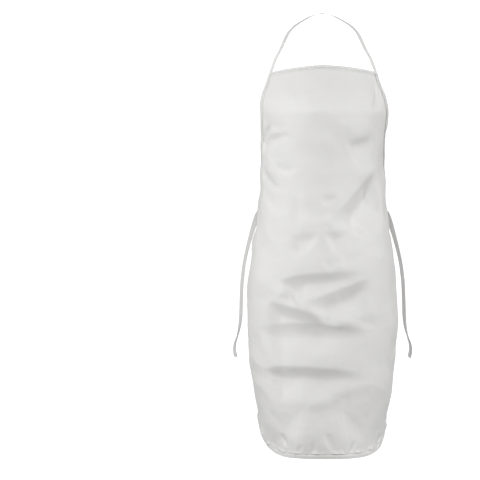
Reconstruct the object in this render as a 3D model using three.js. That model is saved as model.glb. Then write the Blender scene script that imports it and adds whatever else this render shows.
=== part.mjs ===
import * as THREE from "three";

// A bib apron in the form that it has when worn, with both waist ties hanging loose.
// Millimetres, +Z up, the front faces -Y and the wearer's left is +X.
// The origin is the underside of the neck loop at its highest point.

// Cloth and tape
const clothThickness = 1.2;
const tapeThickness = 1.2;
const tapeWidth = 8.5;
const turnedHemWidth = 10;
const seamGap = 0.3;

// Lengths down the middle of the front, and along the edges
const bibTopDrop = 135;
const bodyLength = 844;
const armholeDrop = 271;
const bibCornerDip = 14;
const cornerHeight = 126;

// Widths from side to side
const bibWidth = 228;
const chestWidth = 290;
const waistWidth = 274;
const hipWidth = 327;
const skirtWidth = 264;

// Depths from the line through both sides to the middle of the front, and to the back
const bibDepth = 60;
const chestDepth = 121;
const waistDepth = 98;
const hipDepth = 121;
const skirtDepth = 114;
const wrapDepth = 154;
const neckReach = 125;

// Folds of the cloth
const foldBreadth = 30;
const foldHeight = 6;

const skirtDrop = bodyLength - armholeDrop;
const cornerStart = 35;

// Plan sections from the bib's top edge down: drop below that edge, half of the width, depth of
// the front, degrees round from the middle of the front to the cloth's edge, and sideways shift
const sections = [
  { drop: 0, half: bibWidth / 2, depth: bibDepth, edge: 79, shift: 0.01 * bibWidth },
  { drop: 0.119 * armholeDrop, half: 0.434 * chestWidth, depth: 0.67 * chestDepth, edge: 74, shift: 0.007 * chestWidth },
  { drop: 0.257 * armholeDrop, half: 0.486 * chestWidth, depth: 0.882 * chestDepth, edge: 72, shift: 0.009 * chestWidth },
  { drop: 0.37 * armholeDrop, half: 0.5 * chestWidth, depth: chestDepth, edge: 73, shift: 0.015 * chestWidth },
  { drop: 0.436 * armholeDrop, half: 0.494 * chestWidth, depth: 0.995 * chestDepth, edge: 74, shift: 0.014 * chestWidth },
  { drop: 0.569 * armholeDrop, half: 0.505 * waistWidth, depth: 1.087 * waistDepth, edge: 77.5, shift: 0.01 * waistWidth },
  { drop: 0.737 * armholeDrop, half: 0.495 * waistWidth, depth: 1.004 * waistDepth, edge: 85, shift: 0.004 * waistWidth },
  { drop: 0.793 * armholeDrop, half: 0.497 * waistWidth, depth: waistDepth, edge: 89, shift: 0 },
  { drop: 0.899 * armholeDrop, half: 0.5 * waistWidth, depth: waistDepth, edge: 100, shift: 0 },
  { drop: armholeDrop, half: 0.502 * waistWidth, depth: 1.02 * waistDepth, edge: 113.6, shift: 0 },
  { drop: armholeDrop + 0.11 * skirtDrop, half: 0.436 * hipWidth, depth: 0.898 * hipDepth, edge: 112.7, shift: 0 },
  { drop: armholeDrop + 0.263 * skirtDrop, half: 0.485 * hipWidth, depth: 0.936 * hipDepth, edge: 114, shift: 0 },
  { drop: armholeDrop + 0.416 * skirtDrop, half: 0.5 * hipWidth, depth: hipDepth, edge: 114.5, shift: 0 },
  { drop: armholeDrop + 0.571 * skirtDrop, half: 0.495 * hipWidth, depth: 0.996 * hipDepth, edge: 113.6, shift: 0 },
  { drop: armholeDrop + 0.724 * skirtDrop, half: 0.47 * hipWidth, depth: 0.99 * hipDepth, edge: 110.9, shift: 0 },
  { drop: armholeDrop + 0.878 * skirtDrop, half: 0.521 * skirtWidth, depth: 1.035 * skirtDepth, edge: 106.6, shift: 0 },
  { drop: bodyLength, half: 0.5 * skirtWidth, depth: skirtDepth, edge: 104, shift: 0.01 * skirtWidth },
];

// Main folds: each runs from one end through its middle to the other end, placed by degrees round
// from the middle of the front and by share of the body's length; ridge stands above or to the
// left of the line and hollow below or to the right of it
const folds = [
  { ends: [[52, 0.278], [30, 0.335], [10, 0.385]], breadth: 1.0, ridge: 0.3, hollow: 1.1 },
  { ends: [[60, 0.3], [38, 0.364], [12, 0.41]], breadth: 0.9, ridge: 0.9, hollow: 0 },
  { ends: [[-64, 0.29], [-36, 0.375], [8, 0.39]], breadth: 1.0, ridge: 0.9, hollow: 0.6 },
  { ends: [[-66, 0.235], [-48, 0.29], [-26, 0.335]], breadth: 1.0, ridge: 0.3, hollow: 0.9 },
  { ends: [[-36, 0.545], [0, 0.54], [42, 0.53]], breadth: 0.9, ridge: 0.8, hollow: 0.8 },
  { ends: [[-8, 0.612], [14, 0.59], [34, 0.548]], breadth: 0.9, ridge: 0.6, hollow: 0.9 },
  { ends: [[-46, 0.605], [-8, 0.655], [44, 0.68]], breadth: 1.1, ridge: 0.5, hollow: 1.1 },
  { ends: [[-56, 0.785], [-8, 0.775], [44, 0.8]], breadth: 1.2, ridge: 0.7, hollow: 1.0 },
  { ends: [[104, 0.34], [88, 0.39], [76, 0.46]], breadth: 1.0, ridge: 0.6, hollow: 0.9 },
  { ends: [[-104, 0.34], [-88, 0.39], [-76, 0.46]], breadth: 1.0, ridge: 0.6, hollow: 0.9 },
];

// Half of the neck loop, from a bib corner to its highest point, as shares of the corner's
// distance from the middle, of the way back and of the way up
const neckRoute = [
  { across: 1, back: 0, up: 0 },
  { across: 0.91, back: 0.1, up: 0.21 },
  { across: 0.81, back: 0.2, up: 0.37 },
  { across: 0.735, back: 0.31, up: 0.515 },
  { across: 0.66, back: 0.435, up: 0.645 },
  { across: 0.56, back: 0.55, up: 0.745 },
  { across: 0.455, back: 0.68, up: 0.82 },
  { across: 0.345, back: 0.8, up: 0.885 },
  { across: 0.19, back: 0.925, up: 0.96 },
  { across: 0, back: 1, up: 1 },
];

// The route of the wearer's left waist tie, in millimetres outwards, back and up from where it
// crosses the binding's lower end, with the degrees that its face is turned away from the front;
// the other tie mirrors it
const tieRoute = [
  { out: 2, back: -8, up: 6, turn: 78 },
  { out: 0.3, back: 0, up: 0, turn: 78 },
  { out: 0.5, back: 8, up: -7, turn: 78 },
  { out: 3.5, back: 15, up: -20, turn: 70 },
  { out: 9, back: 18.5, up: -34, turn: 52 },
  { out: 16, back: 20, up: -48, turn: 30 },
  { out: 26, back: 20, up: -80, turn: 12 },
  { out: 35.5, back: 20, up: -114, turn: 4 },
  { out: 44, back: 20, up: -151, turn: 0 },
  { out: 50, back: 20, up: -197, turn: 0 },
  { out: 52, back: 20, up: -241, turn: 6 },
  { out: 53, back: 20, up: -274, turn: 14 },
  { out: 55.5, back: 20, up: -298, turn: 40 },
  { out: 60.5, back: 20, up: -320, turn: 70 },
  { out: 66, back: 19, up: -338, turn: 50 },
  { out: 67, back: 18, up: -352, turn: 24 },
  { out: 64, back: 18, up: -368, turn: 8 },
];

// How finely the cloth and the tapes are faceted
const panelColumns = 36;
const armholeRows = 17;
const skirtRows = 28;
const loopSteps = 64;
const tieSteps = 56;

const cloth = new THREE.MeshStandardMaterial({ color: 0xe9e8e6, roughness: 0.92, metalness: 0 });
const tape = new THREE.MeshStandardMaterial({ color: 0xe6e5e2, roughness: 0.88, metalness: 0 });

const radians = THREE.MathUtils.degToRad;
const mix = THREE.MathUtils.lerp;

// A smooth curve through one column of the sections
function sectionValue(column, drop) {
  const last = sections.length - 1;
  let k = 0;
  while (k < last - 1 && drop > sections[k + 1].drop) k += 1;
  const slope = (i) => {
    const before = sections[Math.max(i - 1, 0)];
    const after = sections[Math.min(i + 1, last)];
    return (after[column] - before[column]) / (after.drop - before.drop);
  };
  const span = sections[k + 1].drop - sections[k].drop;
  const t = THREE.MathUtils.clamp((drop - sections[k].drop) / span, 0, 1);
  const start = sections[k][column] * (1 + 2 * t) * (1 - t) ** 2 + slope(k) * span * t * (1 - t) ** 2;
  const end = sections[k + 1][column] * t * t * (3 - 2 * t) - slope(k + 1) * span * t * t * (1 - t);
  return start + end;
}

// Where a fold line lies on the cloth spread flat
const quarterGirth = (Math.PI / 4) * (hipWidth / 2 + hipDepth);
function spread(around, share) {
  return new THREE.Vector2((around / 90) * quarterGirth, share * bodyLength);
}

const foldLines = folds.map((fold) => {
  const [start, middle, end] = fold.ends.map(([around, share]) => spread(around, share));
  const pull = middle.clone().multiplyScalar(2).addScaledVector(start, -0.5).addScaledVector(end, -0.5);
  const points = new THREE.QuadraticBezierCurve(start, pull, end).getPoints(16);
  return { ...fold, points, reach: fold.breadth * foldBreadth };
});

// Height of the folds at a place on the cloth, taken from the nearest stretch of each fold line
function foldRise(around, share) {
  const place = spread(around, share);
  let rise = 0;
  for (const line of foldLines) {
    let nearest = Infinity;
    let side = 0;
    let along = 0;
    for (let k = 0; k < line.points.length - 1; k += 1) {
      const step = line.points[k + 1].clone().sub(line.points[k]);
      const offset = place.clone().sub(line.points[k]);
      const t = THREE.MathUtils.clamp(offset.dot(step) / step.lengthSq(), 0, 1);
      const distance = offset.distanceTo(step.clone().multiplyScalar(t));
      if (distance < nearest) {
        nearest = distance;
        side = Math.sign(step.x) * Math.sign(step.cross(offset)) * distance;
        along = (k + t) / (line.points.length - 1);
      }
    }
    const taper = Math.sin(Math.PI * along) ** 0.7;
    const bump = (centre) => Math.exp(-(((side - centre) / (0.6 * line.reach)) ** 2));
    rise += foldHeight * taper * (line.ridge * bump(-0.5 * line.reach) - line.hollow * bump(0.5 * line.reach));
  }
  return rise;
}

// A point of the cloth's middle layer
function clothPoint(around, drop) {
  const angle = radians(around);
  const half = sectionValue("half", drop);
  const depth = Math.cos(angle) > 0 ? sectionValue("depth", drop) : wrapDepth;
  const out = new THREE.Vector2(Math.sin(angle) / half, Math.cos(angle) / depth).normalize();
  const rise = foldRise(around, drop / bodyLength);
  return new THREE.Vector3(
    half * Math.sin(angle) + sectionValue("shift", drop) + rise * out.x,
    -neckReach - depth * Math.cos(angle) - rise * out.y,
    -bibTopDrop - drop,
  );
}

// The same point with the direction out of the cloth, from how the cloth runs round and down
function clothPlace(around, drop) {
  const round = clothPoint(around + 1, drop).sub(clothPoint(around - 1, drop));
  const down = clothPoint(around, drop + 2).sub(clothPoint(around, drop - 2));
  return { point: clothPoint(around, drop), out: down.cross(round).normalize() };
}

// Degrees round to the side edge, drawn in along the lower corner's curve
const cornerDrop = bodyLength - cornerHeight;
const cornerMiddle = Math.SQRT1_2;
function edgeAngle(drop) {
  const edge = sectionValue("edge", drop);
  const into = (drop - cornerDrop) / cornerHeight;
  return into > 0 ? cornerStart + (edge - cornerStart) * Math.sqrt(1 - into * into) : edge;
}

// Drop of the top edge and of the bottom edge, by degrees round
const topEdgeAngle = edgeAngle(bibCornerDip);
const sideEnd = cornerDrop + cornerMiddle * cornerHeight;
const bottomEdgeAngle = edgeAngle(sideEnd);
function topDrop(around) {
  return bibCornerDip * Math.abs(around / topEdgeAngle) ** 1.2;
}
function bottomDrop(around) {
  const span = (bottomEdgeAngle - cornerStart) / cornerMiddle;
  const into = Math.max(Math.abs(around) - cornerStart, 0) / span;
  return cornerDrop + cornerHeight * Math.sqrt(1 - into * into);
}

// Shares of the way down at which the rows lie: the top hem's line, the armhole, the skirt and
// the bottom hem's line
const waistRow = armholeRows + 1;
const rowShares = [0, turnedHemWidth / bodyLength];
const waistShare = (armholeDrop - bibCornerDip) / (sideEnd - bibCornerDip);
for (let k = 1; k <= armholeRows; k += 1) {
  rowShares.push(mix(rowShares[1], waistShare, k / armholeRows));
}
for (let k = 1; k <= skirtRows; k += 1) {
  rowShares.push(mix(waistShare, 1 - turnedHemWidth / bodyLength, k / skirtRows));
}
rowShares.push(1);

// Rows of places on the cloth, each with its point and the direction out of the cloth; the
// second and the last but one of a row lie along the hem's or the binding's inner line
function clothRow(share, isArmhole) {
  const sideDrop = mix(bibCornerDip, sideEnd, share);
  const edge = edgeAngle(sideDrop);
  const place = (across) => {
    const top = topDrop(across * topEdgeAngle);
    const bottom = bottomDrop(across * bottomEdgeAngle);
    return clothPlace(across * edge, mix(top, bottom, share));
  };
  const nearEdge = 0.02;
  const perShare = place(1).point.distanceTo(place(1 - nearEdge).point) / nearEdge;
  const inset = (isArmhole ? tapeWidth : turnedHemWidth) / perShare;
  const shares = [-1];
  for (let k = 0; k <= panelColumns - 2; k += 1) {
    shares.push(mix(-1 + inset, 1 - inset, k / (panelColumns - 2)));
  }
  shares.push(1);
  return shares.map(place);
}

const clothRows = rowShares.map((share, j) => clothRow(share, j < waistRow));
const lastRow = clothRows.length - 1;
const lastColumn = panelColumns;

function geometryFrom(points, triangles) {
  const geometry = new THREE.BufferGeometry();
  geometry.setAttribute("position", new THREE.Float32BufferAttribute(points.flatMap((p) => p.toArray()), 3));
  geometry.setIndex(triangles.flat());
  geometry.computeVertexNormals();
  return geometry;
}

// A closed layer of cloth over a patch of rows, between two distances out of the middle layer.
// Each facet is cut from its upper inner corner to its lower outer one, the same in all layers
function clothLayer(patch, outer, inner, first = 0) {
  const rows = patch.length;
  const columns = patch[0].length;
  const points = [];
  for (const distance of [outer, inner]) {
    for (const row of patch) {
      for (const place of row) points.push(place.point.clone().addScaledVector(place.out, distance));
    }
  }
  const at = (side, j, i) => (side * rows + j) * columns + i;
  const triangles = [];
  const quad = (a, b, c, d) => triangles.push([a, b, c], [a, c, d]);
  const middle = first + (columns - 1) / 2 < panelColumns / 2 ? columns : 0;
  const split = columns > 2 ? (columns - 1) / 2 : middle;
  for (let j = 0; j < rows - 1; j += 1) {
    for (let i = 0; i < columns - 1; i += 1) {
      const [a, b, c, d] = [[j, i], [j + 1, i], [j + 1, i + 1], [j, i + 1]];
      const corners = i < split ? [b, c, d, a] : [a, b, c, d];
      quad(...corners.map(([row, column]) => at(0, row, column)));
      const [e, f, g, h] = corners.map(([row, column]) => at(1, row, column));
      triangles.push([e, g, f], [e, h, g]);
    }
  }
  for (let i = 0; i < columns - 1; i += 1) {
    quad(at(0, 0, i), at(0, 0, i + 1), at(1, 0, i + 1), at(1, 0, i));
    quad(at(0, rows - 1, i + 1), at(0, rows - 1, i), at(1, rows - 1, i), at(1, rows - 1, i + 1));
  }
  for (let j = 0; j < rows - 1; j += 1) {
    quad(at(0, j + 1, 0), at(0, j, 0), at(1, j, 0), at(1, j + 1, 0));
    quad(at(0, j, columns - 1), at(0, j + 1, columns - 1), at(1, j + 1, columns - 1), at(1, j, columns - 1));
  }
  return geometryFrom(points, triangles);
}

// A closed band through a list of cross sections, with its two ends filled by the same triangles;
// the facets that start at a flipped corner are cut the other way
function band(profiles, endTriangles, flipped = []) {
  const size = profiles[0].length;
  const last = (profiles.length - 1) * size;
  const triangles = [];
  for (let j = 0; j < profiles.length - 1; j += 1) {
    for (let k = 0; k < size; k += 1) {
      const a = j * size + k;
      const b = j * size + ((k + 1) % size);
      if (flipped.includes(k)) {
        triangles.push([a, b, a + size], [b, b + size, a + size]);
      } else {
        triangles.push([a, b, b + size], [a, b + size, a + size]);
      }
    }
  }
  for (const [a, b, c] of endTriangles) {
    triangles.push([a, c, b], [last + a, last + b, last + c]);
  }
  return geometryFrom(profiles.flat(), triangles);
}

// Moves the first and last places of a strip inwards, clear of the pieces that it meets
function shortened(rows, atStart, atEnd) {
  const moved = rows.map((row) => row.slice());
  const slide = (from, towards, distance) => moved[from].map((place, i) => {
    const step = moved[towards][i].point.clone().sub(place.point).setLength(distance);
    return { point: place.point.clone().add(step), out: place.out };
  });
  const end = moved.length - 1;
  if (atStart) moved[0] = slide(0, 1, atStart);
  if (atEnd) moved[end] = slide(end, end - 1, atEnd);
  return moved;
}

const panelFace = clothThickness / 2;
const hemFace = panelFace + seamGap;

function bodyPanel() {
  return clothLayer(clothRows, panelFace, -panelFace);
}

// A turned hem lies against the inside of the cloth
function turnedHem(patch, first) {
  return clothLayer(patch, -hemFace, -hemFace - clothThickness, first);
}

function columnsOf(rows, first, last) {
  return rows.map((row) => row.slice(first, last + 1));
}

function turned(rows) {
  return rows[0].map((_, i) => rows.map((row) => row[i]));
}

function topHem() {
  const strip = columnsOf(clothRows.slice(0, 2), 1, lastColumn - 1);
  return turnedHem(turned(shortened(turned(strip), 2 * seamGap, 2 * seamGap)));
}

function bottomHem() {
  const strip = columnsOf(clothRows.slice(lastRow - 1), 1, lastColumn - 1);
  return turnedHem(turned(shortened(turned(strip), seamGap, seamGap)));
}

function sideHem(side) {
  const first = side > 0 ? lastColumn - 1 : 0;
  const strip = columnsOf(clothRows.slice(waistRow), first, first + 1);
  return turnedHem(shortened(strip, 2 * seamGap, 0), first);
}

// Tape folded over the armhole edge, a gap clear of the cloth inside it
function armholeBinding(side) {
  const edge = side > 0 ? lastColumn : 0;
  const strip = clothRows.slice(0, waistRow + 1).map((row) => [row[edge], row[edge - side]]);
  const profiles = shortened(strip, 0, seamGap).map(([rim, inner]) => {
    const past = rim.point.clone().sub(inner.point).normalize();
    const at = (place, distance, beyond) => (
      place.point.clone().addScaledVector(place.out, distance).addScaledVector(past, beyond)
    );
    const outside = hemFace + tapeThickness;
    const profile = [
      at(inner, outside, 0), at(rim, outside, seamGap + tapeThickness),
      at(rim, -outside, seamGap + tapeThickness), at(inner, -outside, 0),
      at(inner, -hemFace, 0), at(rim, -hemFace, seamGap),
      at(rim, hemFace, seamGap), at(inner, hemFace, 0),
    ];
    return side > 0 ? profile.reverse() : profile;
  });
  const ends = [[0, 1, 6], [0, 6, 7], [1, 2, 5], [1, 5, 6], [2, 3, 4], [2, 4, 5]];
  return band(profiles, ends, [2, 6]);
}

// The end of a binding's edge, midway through the folded tape
function bindingEnd(side, row) {
  const edge = side > 0 ? lastColumn : 0;
  const rim = clothRows[row][edge].point;
  return rim.clone().add(clothRows[row][edge - side].point).multiplyScalar(0.5);
}

// Tape of one thickness along a route, each step with the direction across its width
function tapeAlong(route, chamfer) {
  const profiles = route.map(({ point, across, along }) => {
    const through = along.clone().cross(across).normalize();
    const at = (x, y) => point.clone().addScaledVector(across, x).addScaledVector(through, y);
    const w = tapeWidth / 2;
    const t = tapeThickness / 2;
    const c = chamfer;
    if (c === 0) return [at(-w, -t), at(w, -t), at(w, t), at(-w, t)];
    return [
      at(c - w, -t), at(w - c, -t), at(w, c - t), at(w, t - c),
      at(w - c, t), at(c - w, t), at(-w, t - c), at(-w, c - t),
    ];
  });
  const fan = [];
  for (let k = 1; k < profiles[0].length - 1; k += 1) fan.push([0, k, k + 1]);
  return band(profiles, fan);
}

// The loop carries on from each binding's top end, then turns so that its width lies level
function neckLoop() {
  const ends = [1, -1].map((side) => {
    const edge = side > 0 ? lastColumn : 0;
    const rim = clothRows[0][edge].point;
    const past = rim.clone().sub(clothRows[0][edge - side].point).normalize();
    const top = bindingEnd(side, 0);
    const rise = top.clone().sub(bindingEnd(side, 1)).normalize();
    return { point: top.addScaledVector(rise, seamGap), rise, past };
  });
  const half = ({ point, rise }) => {
    const route = neckRoute.map(({ across, back, up }) => new THREE.Vector3(
      across * point.x,
      point.y * (1 - back),
      mix(point.z, tapeThickness / 2, up),
    ));
    route.splice(1, 0, point.clone().addScaledVector(rise, tapeWidth));
    return route;
  };
  const points = [...half(ends[0]), ...half(ends[1]).reverse().slice(1)];
  const curve = new THREE.CatmullRomCurve3(points, false, "centripetal");
  const turning = (4 * tapeWidth) / curve.getLength();
  const route = [];
  for (let k = 0; k <= loopSteps; k += 1) {
    const u = k / loopSteps;
    const along = curve.getTangentAt(u);
    const level = new THREE.Vector3(along.y, -along.x, 0).normalize();
    const { past } = u < 0.5 ? ends[0] : ends[1];
    const turned = THREE.MathUtils.smoothstep(Math.min(u, 1 - u), 0, turning);
    const across = past.clone().lerp(level, turned).normalize();
    route.push({ point: curve.getPointAt(u), across, along });
  }
  return tapeAlong(route, 0);
}

// Each tie is sewn on over the lower end of the binding and leaves it at the waist corner
function waistTie(side) {
  const outwards = clothRows[waistRow][side > 0 ? lastColumn : 0].out;
  const start = bindingEnd(side, waistRow);
  start.addScaledVector(outwards, hemFace + 1.5 * tapeThickness + 2 * seamGap);
  const place = ({ out, back, up }) => start.clone().add(new THREE.Vector3(side * out, back, up));
  const curve = new THREE.CatmullRomCurve3(tieRoute.map(place), false, "centripetal");
  const lastTurn = tieRoute.length - 1;
  const chamfer = 0.25 * tapeThickness;
  const route = [];
  for (let k = 0; k <= tieSteps; k += 1) {
    const u = k / tieSteps;
    const along = curve.getTangentAt(u);
    const t = curve.getUtoTmapping(u) * lastTurn;
    const from = Math.min(Math.floor(t), lastTurn - 1);
    const turn = side * radians(mix(tieRoute[from].turn, tieRoute[from + 1].turn, t - from));
    const level = new THREE.Vector3(1, 0, 0).addScaledVector(along, -along.x).normalize();
    const across = level.clone().multiplyScalar(Math.cos(turn));
    across.addScaledVector(along.clone().cross(level), Math.sin(turn));
    route.push({ point: curve.getPointAt(u), across, along });
  }
  return tapeAlong(route, chamfer);
}

const apron = new THREE.Group();
function sewOn(name, geometry, material) {
  const mesh = new THREE.Mesh(geometry, material);
  mesh.name = name;
  apron.add(mesh);
}

sewOn("body_panel", bodyPanel(), cloth);
sewOn("top_hem", topHem(), cloth);
sewOn("bottom_hem", bottomHem(), cloth);
for (const [hand, side] of [["left", 1], ["right", -1]]) {
  sewOn(`${hand}_side_hem`, sideHem(side), cloth);
  sewOn(`${hand}_armhole_binding`, armholeBinding(side), tape);
  sewOn(`${hand}_waist_tie`, waistTie(side), tape);
}
sewOn("neck_loop", neckLoop(), tape);

export default apron;
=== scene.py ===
import math

import bmesh
import bpy
import numpy as np
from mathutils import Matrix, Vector
from mathutils.kdtree import KDTree


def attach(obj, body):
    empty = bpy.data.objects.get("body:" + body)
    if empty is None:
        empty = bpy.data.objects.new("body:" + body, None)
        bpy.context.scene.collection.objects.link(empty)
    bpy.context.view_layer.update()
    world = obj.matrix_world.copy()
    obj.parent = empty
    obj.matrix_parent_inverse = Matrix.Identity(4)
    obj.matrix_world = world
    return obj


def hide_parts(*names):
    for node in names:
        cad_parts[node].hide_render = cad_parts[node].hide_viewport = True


# A bib apron in its worn form, hung by its neck loop, with both waist ties loose.
# Sizes and routes are in millimetres, and meshes are made in metres in the frame's axes:
# +Z up, the front faces -Y, the wearer's left is +X.

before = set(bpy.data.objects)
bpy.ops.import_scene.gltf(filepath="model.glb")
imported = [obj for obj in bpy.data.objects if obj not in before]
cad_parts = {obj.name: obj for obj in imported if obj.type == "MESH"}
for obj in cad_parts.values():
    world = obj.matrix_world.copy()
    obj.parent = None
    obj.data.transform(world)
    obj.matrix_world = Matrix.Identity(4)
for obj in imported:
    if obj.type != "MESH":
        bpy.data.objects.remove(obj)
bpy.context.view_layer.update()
MM = 0.001

# Sizes of the cut, as in the frame
body_length = 844
armhole_drop = 271
bib_top_drop = 135
bib_corner_dip = 14
corner_height = 126
corner_start = 35
bib_width, bib_depth = 228, 60
chest_width, chest_depth = 290, 121
waist_width, waist_depth = 274, 98
hip_width, hip_depth = 327, 121
skirt_width, skirt_depth = 264, 114
wrap_depth = 154
neck_reach = 125
skirt_drop = body_length - armhole_drop

# Cloth and tape, thinner than the frame's walls and in the middle of them
cloth_thickness = 0.8
tape_width = 8.5
tape_thickness = 0.9
binding_face = 1.15
hem_width = 10
hem_seam = 9
top_band = 5.5
stitch_pitch = 2.8
stitch_share = 0.74
thread_thickness = 0.34
stitch_lift = 0.06
sewing_gap = 0.1
cut_reach, cut_slant = 6, 2.2
neck_top = 0.6
edge_spacing = 2.5

# Plan sections: drop below the bib's top edge, half width, depth of the front, degrees round from
# the middle of the front to the cloth's edge, sideways shift
sections = np.array([
    (0, 0.506 * bib_width, bib_depth, 73, 0.01 * bib_width),
    (0.119 * armhole_drop, 0.45 * chest_width, 0.67 * chest_depth, 68, 0.007 * chest_width),
    (0.257 * armhole_drop, 0.502 * chest_width, 0.882 * chest_depth, 67, 0.009 * chest_width),
    (0.37 * armhole_drop, 0.512 * chest_width, chest_depth, 69, 0.015 * chest_width),
    (0.436 * armhole_drop, 0.502 * chest_width, 0.982 * chest_depth, 71, 0.014 * chest_width),
    (0.569 * armhole_drop, 0.505 * waist_width, 1.14 * waist_depth, 77.5, 0.01 * waist_width),
    (0.737 * armhole_drop, 0.495 * waist_width, 1.022 * waist_depth, 85, 0.004 * waist_width),
    (0.899 * armhole_drop, 0.5 * waist_width, 1.004 * waist_depth, 99.5, 0),
    (armhole_drop, 0.502 * waist_width, 1.02 * waist_depth, 113.6, 0),
    (armhole_drop + 0.11 * skirt_drop, 0.436 * hip_width, 0.898 * hip_depth, 112.7, 0),
    (armhole_drop + 0.263 * skirt_drop, 0.485 * hip_width, 0.936 * hip_depth, 114, 0),
    (armhole_drop + 0.416 * skirt_drop, 0.5 * hip_width, hip_depth, 114.5, 0),
    (armhole_drop + 0.571 * skirt_drop, 0.495 * hip_width, 0.996 * hip_depth, 113.6, 0),
    (armhole_drop + 0.724 * skirt_drop, 0.47 * hip_width, 0.99 * hip_depth, 110.9, 0),
    (armhole_drop + 0.878 * skirt_drop, 0.527 * skirt_width, 1.035 * skirt_depth, 106.6, 0),
    (body_length, 0.478 * skirt_width, skirt_depth, 104, 0.01 * skirt_width),
])
HALF, DEPTH, EDGE, SHIFT = 1, 2, 3, 4

# Degrees round over which the way out of the cloth turns from the front's form to the wrap's
wrap_start, wrap_span = 62, 56

# The top edge's dip grows with this power of the way across, and the lower corner's curve passes
# from the bottom edge to the side edge at this share of its width and height
dip_power = 1.2
corner_middle = math.sqrt(0.5)

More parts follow.
